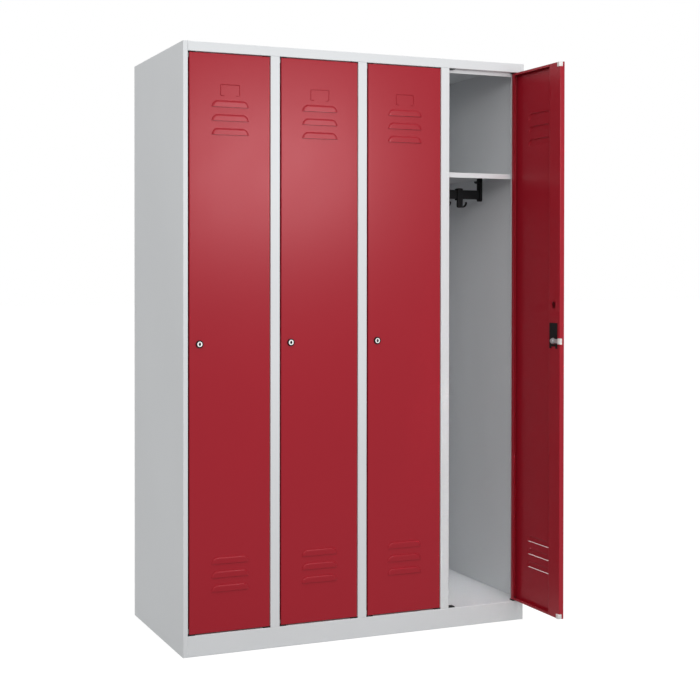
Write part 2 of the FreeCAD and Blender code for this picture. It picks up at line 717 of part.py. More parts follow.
def door_leaf():
    """Folded door pan with deep side flanges, pressed louvres and label ribs, pierced for its lock."""
    body = doc.addObject("PartDesign::Body", "leaf")
    front, inner_face = "pivot_depth", "-(door_depth - pivot_depth)"
    hood = "(pivot_depth + louvre_bulge - door_sheet)"

    plan = sketch_on(body, "leaf_plan", "XY_Plane", DOOR_BOTTOM)
    rectangle(plan, (FREE_EDGE, HINGE_EDGE), (DOOR_FACE, DOOR_BACK))
    block = pad(body, "leaf_block", plan, f"{DOOR_TOP} - {DOOR_BOTTOM}")
    doc.recompute()
    folds = round_body(body, "leaf_folds", block, "door_bend",
                       lambda edge: on_bounds(block.Shape, edge, ["YMin"]))

    hollow = sketch_on(body, "leaf_hollow_plan", "XY_Plane", f"{DOOR_TOP} - door_sheet")
    rectangle(hollow, (f"{FREE_EDGE} + door_sheet", f"{HINGE_EDGE} - door_sheet"),
              (f"{DOOR_FACE} + door_sheet", f"{DOOR_BACK} - door_sheet"))
    window = sketch_on(body, "leaf_window_plan", "XZ_Plane", inner_face)
    rectangle(window, (f"{FREE_EDGE} + latch_flange", f"{HINGE_EDGE} - hinge_flange"),
              (f"{DOOR_BOTTOM} + end_flange", f"{DOOR_TOP} - end_flange"))
    pocket(body, "leaf_window", window, "door_depth - door_sheet", reverse=True)
    pocket(body, "leaf_hollow", hollow, f"{DOOR_TOP} - {DOOR_BOTTOM} - 2 * door_sheet")

    louvre = sketch_on(body, "leaf_louvre_plan", "XZ_Plane", front)
    louvre_outline(louvre, "plinth + lower_louvre_rise", "0")
    repeat_louvre(body, "leaf_louvres", pad(body, "leaf_louvre", louvre, "louvre_bulge"))
    slot = sketch_on(body, "leaf_slot_plan", "XZ_Plane", hood)
    louvre_outline(slot, "plinth + lower_louvre_rise", "door_sheet")
    opened = repeat_louvre(body, "leaf_slots", pocket(body, "leaf_slot", slot, "louvre_bulge + door_sheet"))
    level = -sheet.get("pivot_depth") - sheet.get("louvre_bulge")
    length, inset = sheet.get("louvre_length"), sheet.get("door_sheet")
    lined = round_body(body, "leaf_slot_rims", opened, "louvre_rim - door_sheet",
                       louvre_rims(level + inset, length - 2 * inset))
    round_body(body, "leaf_louvre_rims", lined, "louvre_rim", louvre_rims(level, length))

    ribs = sketch_on(body, "leaf_label_plan", "XZ_Plane", front)
    label_ribs(ribs)
    pad(body, "leaf_label", ribs, "label_relief")
    lock = sketch_on(body, "leaf_lock_plan", "XZ_Plane", front)
    circle(lock, LOCK_X, "lock_height", "barrel_diameter / 2 + barrel_play")
    pocket(body, "leaf_lock_hole", lock)
    oblong = sketch_on(body, "leaf_oblong_plan", "XZ_Plane", inner_face)
    stadium(oblong, LOCK_X, "(lock_height + oblong_rise)", "oblong_width", "oblong_height")
    pocket(body, "leaf_oblong", oblong, "2 * door_sheet", reverse=True)
    pivot = sketch_on(body, "leaf_pivot_plan", "XY_Plane", "0")
    circle(pivot, "0", "0", "pin_diameter / 2 + pin_play")
    pocket(body, "leaf_pivot_holes", pivot, reverse=True)
    corners = sketch_on(body, "leaf_corner_plan", "XZ_Plane", inner_face)
    for z in BUMPER_LEVELS:
        rectangle(corners, BUMPER_SPAN, z)
    pocket(body, "leaf_corners", corners, "bumper_wrap", reverse=True)

    return body


def door(bay, leaf):
    """The leaf, hung in a bay."""
    hung = group(f"door_{bay}", [leaf])
    hang_on_pivot(hung, bay)
    node(hung, f"door_leaf_{bay}")


def door_bumpers(bay):
    """Soft caps in the open free corners of the leaf that meet the stop lip."""
    name = f"bumper_{bay}"
    y = (f"({DOOR_BACK} - bumper_wrap)", f"({DOOR_BACK} + rebate - door_depth - bumper_play)")
    floor_z, top_z = BUMPER_LEVELS
    top = box(f"{name}_top_block", BUMPER_SPAN, y, top_z)
    bottom = box(f"{name}_floor_block", BUMPER_SPAN, y, floor_z)
    pair = group(name, [
        round_edges(f"{name}_top", top, "bumper_round", ["ZMin", "XMax"]),
        round_edges(f"{name}_floor", bottom, "bumper_round", ["ZMax", "XMax"]),
    ])
    hang_on_pivot(pair, bay)
    node(pair, f"door_bumpers_{bay}")


# Cam lock


def lock_barrel(bay):
    """Fixed barrel through the leaf with a rosette outside and a recess for the key face."""
    name = f"barrel_{bay}"
    centre = (LOCK_X, "lock_height")
    disc = inward_cylinder(f"{name}_disc", centre, "rosette_diameter / 2", (ROSETTE_FRONT, DOOR_FACE))
    solid = fuse(
        f"{name}_solid",
        round_edges(f"{name}_rosette", disc, "rosette_round", ["YMin"]),
        inward_cylinder(f"{name}_body", centre, "barrel_diameter / 2", (DOOR_FACE, DOOR_BACK)),
    )
    bore = inward_cylinder(f"{name}_bore", centre, "plug_diameter / 2 + plug_play",
                           (f"({ROSETTE_FRONT} - rosette_height)", f"({DOOR_BACK} + door_sheet)"))
    recess = inward_cylinder(f"{name}_recess", centre, "plug_face / 2 + plug_play",
                             (f"({ROSETTE_FRONT} - rosette_height)", f"({KEY_FACE_BACK} + plug_play)"))
    barrel = cut(name, solid, bore, recess)
    hang_on_pivot(barrel, bay)
    node(barrel, f"lock_barrel_{bay}")


def lock_cover(bay):
    """Cover plate on the inner flange, arched round the cam's hub and open below it."""
    name = f"cover_{bay}"
    y = (DOOR_BACK, f"({DOOR_BACK} + cover_thickness)")
    low, high = "(lock_height - cover_below)", "(lock_height + cover_above)"
    plate = box(f"{name}_plate", (f"({LOCK_X} - cover_width / 2)", f"({LOCK_X} + cover_width / 2)"), y, (low, high))
    arch = inward_cylinder(f"{name}_arch", (LOCK_X, "lock_height"), "cover_notch / 2", y)
    throat = box(f"{name}_throat", (f"({LOCK_X} - cover_notch / 2)", f"({LOCK_X} + cover_notch / 2)"), y,
                 (low, "lock_height"))
    cover = cut(name, plate, arch, throat)
    hang_on_pivot(cover, bay)
    node(cover, f"lock_cover_{bay}")


def turn_on_lock(item, bay):
    """Place a piece drawn about the lock axis with its cam thrown, turned up unless the door is open."""
    opened = bay == OPEN_BAY
    swing = FreeCAD.Rotation(UPRIGHT, sheet.get("open_angle") if opened else 0.0)
    turn = FreeCAD.Rotation(INWARD, 0.0 if opened else 90.0)
    item.Placement = FreeCAD.Placement(FreeCAD.Vector(), swing.multiply(turn))
    x, y = pivot_place(bay)
    angle = "open_angle" if opened else "0"
    place(item, f"{x} + {LOCK_X} * cos({angle})", f"{y} + {LOCK_X} * sin({angle})", "lock_height")


def lock_plug(bay):
    """Key plug: bright face with a keyhole, a core that runs in the barrel and a tapped end."""
    name = f"plug_{bay}"
    centre = ("0", "0")
    face = inward_cylinder(f"{name}_disc", centre, "plug_face / 2", (ROSETTE_FRONT, KEY_FACE_BACK))
    solid = fuse(
        f"{name}_solid",
        face,
        inward_cylinder(f"{name}_core", centre, "plug_diameter / 2", (KEY_FACE_BACK, CAM_FRONT)),
    )
    mouth = (f"({ROSETTE_FRONT} - rosette_height)", f"({ROSETTE_FRONT} + keyhole_depth)")
    straight = "(keyhole_height / 2 - keyhole_width / 2)"
    keyhole = [
        box(f"{name}_keyway", (f"(-{straight})", straight), mouth, ("(-keyhole_width / 2)", "(keyhole_width / 2)")),
        inward_cylinder(f"{name}_keyhole_left", (f"(-{straight})", "0"), "keyhole_width / 2", mouth),
        inward_cylinder(f"{name}_keyhole_right", (straight, "0"), "keyhole_width / 2", mouth),
    ]
    tapping = inward_cylinder(f"{name}_tapping", centre, "screw_diameter / 2 + plug_play",
                              (f"({CAM_FRONT} - screw_reach - cam_play)", f"({CAM_FRONT} + cam_thickness)"))
    plug = cut(name, solid, *keyhole, tapping)
    turn_on_lock(plug, bay)
    node(plug, f"lock_plug_{bay}")


def lock_cam(bay):
    """Cam with a round hub, a narrower neck and a square tip that bites behind the latch post."""
    name = f"cam_{bay}"
    y = (CAM_FRONT, f"({CAM_FRONT} + cam_thickness)")
    tip = "(-lock_inset - gap_latch - cam_bite)"
    tip_root = f"({tip} + cam_tip)"
    solid = fuse(
        f"{name}_solid",
        inward_cylinder(f"{name}_hub", ("0", "0"), "cam_hub / 2", y),
        box(f"{name}_neck", (tip_root, "0"), y, ("(-cam_neck / 2)", "(cam_neck / 2)")),
        box(f"{name}_tip", (tip, tip_root), y, ("(-cam_hub / 2)", "(cam_hub / 2)")),
    )
    hole = inward_cylinder(f"{name}_hole", ("0", "0"), "screw_diameter / 2 + plug_play", y)
    cam = cut(name, solid, hole)
    turn_on_lock(cam, bay)
    node(cam, f"lock_cam_{bay}")


def cam_screw(bay):
    """Screw that holds the cam on the end of the plug."""
    name = f"screw_{bay}"
    seat = f"({CAM_FRONT} + cam_thickness)"
    head = inward_cylinder(f"{name}_head", ("0", "0"), "screw_head / 2", (seat, f"({seat} + screw_head_height)"))
    shank = inward_cylinder(f"{name}_shank", ("0", "0"), "screw_diameter / 2", (f"({CAM_FRONT} - screw_reach)", seat))
    screw = fuse(name, round_edges(f"{name}_rounded", head, "rosette_round", ["YMax"]), shank)
    turn_on_lock(screw, bay)
    node(screw, f"cam_screw_{bay}")


left_side_panel()
right_side_panel()
back_panel()
roof_panel()
floor_panel()
for index in range(1, BAYS):
    front_post(index)
    partition(index)
corner_bushes()
hinge_pins()
for bay in range(1, BAYS + 1):
    hat_shelf(bay)
    coat_rail(bay)
    coat_hook(bay, "left", "-")
    coat_hook(bay, "right", "+")
    door_bumpers(bay)
    lock_barrel(bay)
    lock_cover(bay)
    lock_plug(bay)
    lock_cam(bay)
    cam_screw(bay)
leaf = door_leaf()
for bay in range(1, BAYS + 1):
    door(bay, leaf)
doc.recompute()

for item in doc.Objects:
    if {"Invalid", "Error"} & set(item.State):
        raise RuntimeError(f"{item.Name} failed: {item.State}")
for item in nodes:
    if item.Shape.isNull() or not item.Shape.isValid() or item.Shape.Volume <= 0:
        raise RuntimeError(f"{item.Label} is not a valid solid")

os.makedirs("parts", exist_ok=True)
for item in nodes:
    item.Shape.exportStep(f"parts/{item.Label}.step")
    print(f"{item.Label}: {len(item.Shape.Solids)} solid(s), {item.Shape.Volume / 1000:.1f} cm3")
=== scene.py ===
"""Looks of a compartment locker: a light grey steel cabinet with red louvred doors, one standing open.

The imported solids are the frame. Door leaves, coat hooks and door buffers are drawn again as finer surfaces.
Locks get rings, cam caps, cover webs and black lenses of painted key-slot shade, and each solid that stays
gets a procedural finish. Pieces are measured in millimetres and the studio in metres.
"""

import json
import logging
import math
from dataclasses import dataclass
from enum import Enum
from typing import Any

import bpy
import numpy as np
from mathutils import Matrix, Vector


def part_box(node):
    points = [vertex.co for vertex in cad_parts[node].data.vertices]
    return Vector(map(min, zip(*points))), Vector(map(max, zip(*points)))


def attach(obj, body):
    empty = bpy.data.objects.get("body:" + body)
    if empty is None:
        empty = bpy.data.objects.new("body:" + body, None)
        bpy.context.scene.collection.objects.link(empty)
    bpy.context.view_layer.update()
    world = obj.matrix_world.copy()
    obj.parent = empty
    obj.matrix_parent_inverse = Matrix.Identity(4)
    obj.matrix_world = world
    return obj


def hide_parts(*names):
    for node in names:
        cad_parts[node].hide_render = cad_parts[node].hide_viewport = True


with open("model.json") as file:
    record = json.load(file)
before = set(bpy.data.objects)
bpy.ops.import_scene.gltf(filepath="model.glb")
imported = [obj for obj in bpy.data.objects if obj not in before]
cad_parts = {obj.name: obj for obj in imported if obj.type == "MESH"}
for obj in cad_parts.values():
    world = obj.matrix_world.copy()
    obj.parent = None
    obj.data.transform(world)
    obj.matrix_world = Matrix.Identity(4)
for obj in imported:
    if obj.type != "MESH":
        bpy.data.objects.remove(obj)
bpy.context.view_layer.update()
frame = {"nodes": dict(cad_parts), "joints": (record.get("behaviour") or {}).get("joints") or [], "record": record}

LOG = logging.getLogger("locker")
MM = 0.001
BAYS = (1, 2, 3, 4)
# Distance under which two places are one, and decimals that are kept when points are merged.
TOUCH = 1e-6
MERGE_DECIMALS = 4
# Angle between two faces past which the edge between them is shaded as a crease.
CREASE = math.radians(40.0)

Array = np.ndarray
Axes = tuple[float, float, float]
Colour = tuple[float, float, float]
Socket = bpy.types.NodeSocket


class Slot(Enum):
    """Material slots of the record, one for each finish."""

    CARCASS = "carcass_grey"
    DOOR = "door_red"
    BLACK = "black_plastic"
    BUFFER = "bumper_white"
    ZINC = "zinc_steel"
    CHROME = "bright_chrome"


class Side(Enum):
    """The two hooks of a coat rail."""

    LEFT = "left"
    RIGHT = "right"


Materials = dict[Slot, bpy.types.Material]


class Shading:
    """A new material's nodes, added step by step round one principled shader."""

    def __init__(self, name: str) -> None:
        """Start a material with Object coordinates.

        Args:
            name: Name of the material.
        """
        self.material = bpy.data.materials.new(name)
        self.material.use_nodes = True
        self.tree = self.material.node_tree
        self.shader = self.tree.nodes["Principled BSDF"]
        self.place = self.tree.nodes.new("ShaderNodeTexCoord").outputs["Object"]

    def node(self, kind: str, **sockets: Any) -> bpy.types.ShaderNode:
        """Add a node.

        Args:
            kind: Blender's name of the node type.
            sockets: Values of inputs by name, with spaces written as underscores.

        Returns:
            The new node.
        """
        item = self.tree.nodes.new(kind)
        for name, value in sockets.items():
            item.inputs[name.replace("_", " ")].default_value = value
        return item

    def join(self, source: Socket, target: Socket) -> None:
        """Link an output to an input."""
        self.tree.links.new(source, target)

    def noise(self, scale: float, detail: float, stretch: Axes = (1.0, 1.0, 1.0)) -> Socket:
        """Add cloud noise on Object coordinates.

        Args:
            scale: Waves in a metre.
            detail: Octaves of finer noise.
            stretch: Factors on the three axes before the noise.

        Returns:
            The noise value, about 0.5 on average.
        """
        turned = self.node("ShaderNodeMapping", Scale=stretch)
        self.join(self.place, turned.inputs["Vector"])
        cloud = self.node("ShaderNodeTexNoise", Scale=scale, Detail=detail)
        self.join(turned.outputs["Vector"], cloud.inputs["Vector"])
        return cloud.outputs["Fac"]

    def span(self, factor: Socket, low: float, high: float) -> Socket:
        """Map the usual range of a noise to a range of values.

        Args:
            factor: The noise value.
            low: Value where the noise is 0.3.
            high: Value where the noise is 0.7.

        Returns:
            The mapped value.
        """
        ramp = self.node("ShaderNodeMapRange", From_Min=0.3, From_Max=0.7, To_Min=low, To_Max=high)
        self.join(factor, ramp.inputs["Value"])
        return ramp.outputs["Result"]

    def tint(self, factor: Socket, colour: Colour, drift: float) -> None:
        """Let the base colour drift a little lighter and darker.

        Args:
            factor: The noise value.
            colour: Mean colour, linear.
            drift: Part of the colour by which it rises and falls.
        """
        mix = self.tree.nodes.new("ShaderNodeMix")
        mix.data_type = "RGBA"
        mix.inputs["A"].default_value = (*(part * (1.0 - drift) for part in colour), 1.0)
        mix.inputs["B"].default_value = (*(part * (1.0 + drift) for part in colour), 1.0)
        self.join(self.span(factor, 0.0, 1.0), mix.inputs["Factor"])
        self.join(mix.outputs["Result"], self.shader.inputs["Base Color"])

    def gloss(self, factor: Socket, roughness: float, drift: float) -> None:
        """Let the roughness rise and fall by its drift."""
        self.join(self.span(factor, roughness - drift, roughness + drift), self.shader.inputs["Roughness"])

    def relief(self, factor: Socket, height: float, strength: float) -> None:
        """Bump the surface.

        Args:
            factor: The noise value.
            height: Height of the bumps in metres.
            strength: Strength of the bump node.
        """
        bump = self.node("ShaderNodeBump", Strength=strength, Distance=height)
        self.join(factor, bump.inputs["Height"])
        self.join(bump.outputs["Normal"], self.shader.inputs["Normal"])


@dataclass(frozen=True)
class PowderCoat:
    """Sprayed and baked paint on sheet steel: an even colour with a fine orange peel and a satin gloss."""

    name: str
    colour: Colour
    roughness: float
    specular: float
    sheen_tint: Colour = (1.0, 1.0, 1.0)
    drift: float = 0.02
    drift_scale: float = 2.2
    gloss_drift: float = 0.01
    gloss_scale: float = 9.0
    peel_scale: float = 650.0
    peel_height: float = 0.00002
    peel_strength: float = 0.35

    def material(self) -> bpy.types.Material:
        """Make the material.

        Returns:
            The new material.
        """
        shading = Shading(self.name)
        shading.shader.inputs["Specular IOR Level"].default_value = self.specular
        shading.shader.inputs["Specular Tint"].default_value = (*self.sheen_tint, 1.0)
        shading.tint(shading.noise(self.drift_scale, detail=2.0), self.colour, self.drift)
        shading.gloss(shading.noise(self.gloss_scale, detail=3.0), self.roughness, self.gloss_drift)
        shading.relief(shading.noise(self.peel_scale, detail=1.0), self.peel_height, self.peel_strength)
        return shading.material


@dataclass(frozen=True)
class MouldedPlastic:
    """Injection moulded plastic with the fine grain of an eroded tool."""

    name: str
    colour: Colour
    roughness: float
    specular: float = 0.4
    drift: float = 0.12
    drift_scale: float = 40.0
    gloss_drift: float = 0.06
    gloss_scale: float = 120.0
    grain_scale: float = 1400.0
    grain_height: float = 0.00003
    grain_strength: float = 0.5

    def material(self) -> bpy.types.Material:
        """Make the material.

        Returns:
            The new material.
        """
        shading = Shading(self.name)
        shading.shader.inputs["Specular IOR Level"].default_value = self.specular
        shading.tint(shading.noise(self.drift_scale, detail=3.0), self.colour, self.drift)
        shading.gloss(shading.noise(self.gloss_scale, detail=2.0), self.roughness, self.gloss_drift)
        shading.relief(shading.noise(self.grain_scale, detail=2.0), self.grain_height, self.grain_strength)
        return shading.material


@dataclass(frozen=True)
class PlatedMetal:
    """Plated metal with faint lines from the tool along one axis; painted over, it shows little metal."""

    name: str
    colour: Colour
    roughness: float
    lines: Axes
    metallic: float
    drift: float = 0.05
    drift_scale: float = 180.0
    gloss_drift: float = 0.06
    gloss_scale: float = 400.0
    line_scale: float = 900.0
    line_height: float = 0.00001
    line_strength: float = 0.3

    def material(self) -> bpy.types.Material:
        """Make the material.

        Returns:
            The new material.
        """
        shading = Shading(self.name)
        shading.shader.inputs["Metallic"].default_value = self.metallic
        shading.tint(shading.noise(self.drift_scale, detail=2.0), self.colour, self.drift)
        shading.gloss(shading.noise(self.gloss_scale, 3.0, self.lines), self.roughness, self.gloss_drift)
        cloud = shading.noise(self.line_scale, 2.0, self.lines)
        shading.relief(cloud, self.line_height, self.line_strength)
        return shading.material


# Pivot pins: a dark red, about half as light as the doors' red.
DARK_RED_PIN = PlatedMetal("dark_red_pins", (0.16, 0.008, 0.014), 0.51, (1.0, 1.0, 0.05), metallic=0.1)
FINISHES = {
    Slot.CARCASS: PowderCoat("carcass_powder_coat", (0.735, 0.755, 0.77), 0.36, specular=0.16),
    Slot.DOOR: PowderCoat("door_powder_coat", (0.342, 0.009, 0.020), 0.3, specular=0.4,
                          sheen_tint=(1.0, 0.54, 0.57), drift=0.015),
    Slot.BLACK: MouldedPlastic("black_moulded_plastic", (0.010, 0.010, 0.011), 0.62, specular=0.15),
    Slot.BUFFER: MouldedPlastic("white_buffer", (0.80, 0.78, 0.76), 0.55),
    Slot.ZINC: PlatedMetal("bright_zinc", (0.40, 0.40, 0.41), 0.41, (1.0, 1.0, 0.05), metallic=0.4),
    Slot.CHROME: PlatedMetal("polished_lock_face", (0.86, 0.86, 0.85), 0.21, (1.0, 1.0, 0.2), metallic=0.9),
}


def put(name: str, data: bpy.types.ID) -> bpy.types.Object:
    """Put a new object into the scene.

    Args:
        name: Name of the object.
        data: Its mesh, lamp or camera.

    Returns:
        The object, at the origin.
    """
    item = bpy.data.objects.new(name, data)
    bpy.context.scene.collection.objects.link(item)
    return item


def crisp_edges(mesh: bpy.types.Mesh) -> None:
    """Shade a mesh smooth, apart from its creases and the cut edges of a sheet.

    An edge with one face only is cut. It stays crisp, so that the wall added along it later doesn't bend the
    shading of that face.

    Args:
        mesh: The new mesh.
    """
    mesh.shade_smooth()
    mesh.set_sharp_from_angle(angle=CREASE)
    sharp = np.zeros(len(mesh.edges), dtype=bool)
    mesh.edges.foreach_get("use_edge_sharp", sharp)
    sides = np.zeros(len(mesh.loops), dtype=np.int32)
    mesh.loops.foreach_get("edge_index", sides)
    cut = np.bincount(sides, minlength=len(sharp)) == 1
    mesh.edges.foreach_set("use_edge_sharp", sharp | cut)


@dataclass
class Surface:
    """Points and four-cornered faces of a piece, or of a part of one."""

    points: Array
    faces: Array

    @classmethod
    def grid(cls, points: Array, closed: bool = False) -> "Surface":
        """Join a grid of points into faces.

        Args:
            points: Points in rows and columns, with shape (rows, columns, 3).
            closed: True if the last column meets the first.

        Returns:
            The surface, which faces the side from which columns run right and rows run up.
        """
        rows, columns = points.shape[:2]
        index = np.arange(rows * columns).reshape(rows, columns)
        if closed:
            index = np.concatenate([index, index[:, :1]], axis=1)
        corners = (index[:-1, :-1], index[:-1, 1:], index[1:, 1:], index[1:, :-1])
        return cls(points.reshape(-1, 3), np.stack(corners, axis=-1).reshape(-1, 4))

    @classmethod
    def union(cls, *parts: "Surface") -> "Surface":
        """Put several surfaces into one.

        Args:
            parts: The surfaces.

        Returns:
            The points and faces of all.
        """
        starts = np.cumsum([0] + [len(part.points) for part in parts[:-1]])
        faces = [part.faces + start for part, start in zip(parts, starts)]
        return cls(np.concatenate([part.points for part in parts]), np.concatenate(faces))

    def turned(self) -> "Surface":
        """The same surface facing the other way."""
        return Surface(self.points, self.faces[:, ::-1])

    def moved(self, offset: Array, angle: float = 0.0) -> "Surface":
        """Turn the surface about Z and move it.

        Args:
            offset: Move, after the turn.
            angle: Turn in radians.

        Returns:
            The moved surface.
        """
        cosine, sine = math.cos(angle), math.sin(angle)
        turn = np.array([[cosine, -sine, 0.0], [sine, cosine, 0.0], [0.0, 0.0, 1.0]])
        return Surface(self.points @ turn.T + offset, self.faces)

    def piece(self, name: str) -> bpy.types.Object:
        """Make an object of the surface, with coinciding points merged.

        A face with one side of no length becomes a triangle, and a face that is closed up is left out.

        Args:
            name: Name of the object.

        Returns:
            The object, at the origin, in metres.
        """
        points, index = np.unique(np.round(self.points, MERGE_DECIMALS), axis=0, return_inverse=True)
        faces = index.reshape(-1)[self.faces]
        short = faces == np.roll(faces, -1, axis=1)
        squares = faces[short.sum(axis=1) == 0]
        crossed = (squares[:, 0] == squares[:, 2]) | (squares[:, 1] == squares[:, 3])
        folded = short.sum(axis=1) == 1
        triangles = faces[folded][~short[folded]].reshape(-1, 3)
        mesh = bpy.data.meshes.new(name)
        mesh.from_pydata((points * MM).tolist(), [], squares[~crossed].tolist() + triangles.tolist())
        crisp_edges(mesh)
        return put(name, mesh)


def finish_piece(item: bpy.types.Object, slot: Slot, body: str, materials: Materials,
                 node: str | None = None) -> None:
    """Dress a new piece and let it ride on its body.

    Args:
        item: The new piece.
        slot: Its material slot.
        body: The body that carries it.
        materials: Materials of all slots.
        node: The solid that it replaces, if any.
    """
    item.data.materials.append(materials[slot])
    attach(item, body)
    if node is not None:
        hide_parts(node)
    LOG.info("%s: %d faces", item.name, len(item.data.polygons))


def thicken(item: bpy.types.Object, sheet: float) -> None:
    """Give a sheet its thickness on its inner side and keep its flats flat in the shading.

    Args:
        item: The piece, drawn as the sheet's outer surface.
        sheet: Thickness.
    """
    wall = item.modifiers.new("sheet", "SOLIDIFY")
    wall.thickness = sheet * MM
    wall.offset = -1.0
    wall.use_even_offset = True
    item.modifiers.new("flats", "WEIGHTED_NORMAL").keep_sharp = True


def box_mm(node: str) -> tuple[Array, Array]:
    """Least and greatest corner of a solid, in millimetres."""
    low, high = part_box(node)
    return np.array(low) / MM, np.array(high) / MM


def sweep(count: int, start: float, end: float) -> Array:
    """Angles in radians from one to another, given in degrees, with both ends."""
    return np.radians(np.linspace(start, end, count))


def lattice(x: Array, y: Array | float, z: Array | float) -> Array:
    """Points of a grid, with their coordinates broadcast together."""
    return np.stack(np.broadcast_arrays(x, y, z), axis=-1)


def arc(centre: tuple[float, float], radius: float, angles: Array) -> Array:
    """Points of a circle at the given angles."""
    return np.stack([centre[0] + radius * np.cos(angles), centre[1] + radius * np.sin(angles)], axis=-1)


def rounded_block(low: Array, high: Array, radius: float) -> Surface:
    """Box with round edges and corners.

    Each point of the box is drawn to the nearest point of an inner box, smaller by the radius on all sides,
    and set at that radius from it. The points lie at equal angles round the edges.

    Args:
        low: Least corner.
        high: Greatest corner.
        radius: Radius of the edges.

    Returns:
        The closed surface.
    """
    bow = radius * np.tan(sweep(4, 0.0, 45.0))
    ends = zip(low + radius, high - radius)
    lines = [np.concatenate([start - bow[::-1], end + bow]) for start, end in ends]
    sides = []
    for normal, right, up in ((0, 1, 2), (1, 0, 2), (2, 0, 1)):
        for level, upper in ((low[normal], False), (high[normal], True)):
            points = np.empty((len(lines[up]), len(lines[right]), 3))
            points[..., normal] = level
            points[..., right] = lines[right][None, :]
            points[..., up] = lines[up][:, None]
            inner = np.clip(points, low + radius, high - radius)
            away = points - inner
            side = Surface.grid(inner + radius * away / np.linalg.norm(away, axis=-1, keepdims=True))
            faces_out = upper != (normal == 1)
            sides.append(side if faces_out else side.turned())
    return Surface.union(*sides)


@dataclass(frozen=True)
class Buffer:
    """White cap that fills an open corner of a door pan and stands out towards the frame."""

    width: float = 12.5
    wrap: float = 10.5
    stand: float = 4.2
    height: float = 15.0
    rounding: float = 2.2

    def block(self, start: Array) -> Surface:
        """Make one cap, with its least corner at a place on the leaf."""
        size = np.array([self.width, self.wrap + self.stand, self.height])
        return rounded_block(start, start + size, self.rounding)


@dataclass(frozen=True)
class Louvre:
    """Hood pressed out of the door skin, straight below and quarter round at both upper corners."""

    length: float = 120.0
    height: float = 20.0
    bulge: float = 4.5
    fall: float = 1.2
    rim: float = 5.5
    end_rim: float = 7.0
    reach: float = 6.0

    @property
    def level_half(self) -> float:
        """Half of the level part of the outline."""
        return self.length / 2 - self.height

    def arch(self, across: Array) -> Array:
        """Height of the outline: level in the middle, then a quarter circle down to nothing at each end.

        Args:
            across: Distance from the louvre's middle.

        Returns:
            The height at each place.
        """
        over = np.clip(np.abs(across) - self.level_half, 0.0, self.height)
        inside = np.abs(across) <= self.length / 2 + TOUCH
        return np.where(inside, np.sqrt(self.height**2 - over**2), 0.0)

    def relief(self, across: Array, up: Array) -> Array:
        """Height of the hood over the skin.

        A quarter ellipse rises from the outline over the width of the rim, which grows round the ends with
        the square of the sine of the turn. Inside it the hood is flat and falls evenly to its lower edge.

        Args:
            across: Distance from the louvre's middle.
            up: Distance over its lower edge.

        Returns:
            The relief at each point.
        """
        over = np.clip(np.abs(across) - self.level_half, 0.0, None)
        away = np.maximum(np.hypot(over, up), TOUCH)
        rim = self.rim + (self.end_rim - self.rim) * (over / away) ** 2
        inward = np.clip((self.height - away) / rim, 0.0, 1.0)
        crown = self.bulge - self.fall * np.clip(1.0 - up / self.height, 0.0, 1.0)
        return crown * np.sqrt(1.0 - (1.0 - inward) ** 2)

    def columns(self) -> Array:
        """Places across the louvre, closer together towards the round ends.

        Returns:
            Distances from its middle.
        """
        ends = self.level_half + self.height * np.sin(sweep(15, 0.0, 90.0))
        middle = np.linspace(-1.0, 1.0, 5)[1:-1] * self.level_half
        return np.concatenate([-ends[::-1], middle, ends])


@dataclass(frozen=True)
class Cutout:
    """Round or upright oblong hole in the latch flange."""

    height: float
    radius: float
    straight: float = 0.0
    reach: float = 26.0

    def columns(self) -> Array:
        """Places across the hole, closer together towards its sides."""
        return self.radius * np.sin(sweep(13, -90.0, 90.0))

    def inside(self, across: Array) -> Array:
        """True for places between the hole's sides."""
        return np.abs(across) <= self.radius + TOUCH

    def arch(self, across: Array) -> Array:
        """Half of the hole's height: a half circle on top of half of its straight length.

        Args:
            across: Distance from the hole's middle.

        Returns:
            Half of the height at each place.
        """
        circle = np.sqrt(np.clip(self.radius**2 - across**2, 0.0, None))
        return np.where(self.inside(across), circle + self.straight / 2, 0.0)


# Heights of a row of points, their lift over the skin, and the depth that the bend at an end gives them.
Row = tuple[Array, Array, Array]
# An open band: the row below it, and the columns at which it is open.
Band = tuple[int, Array]


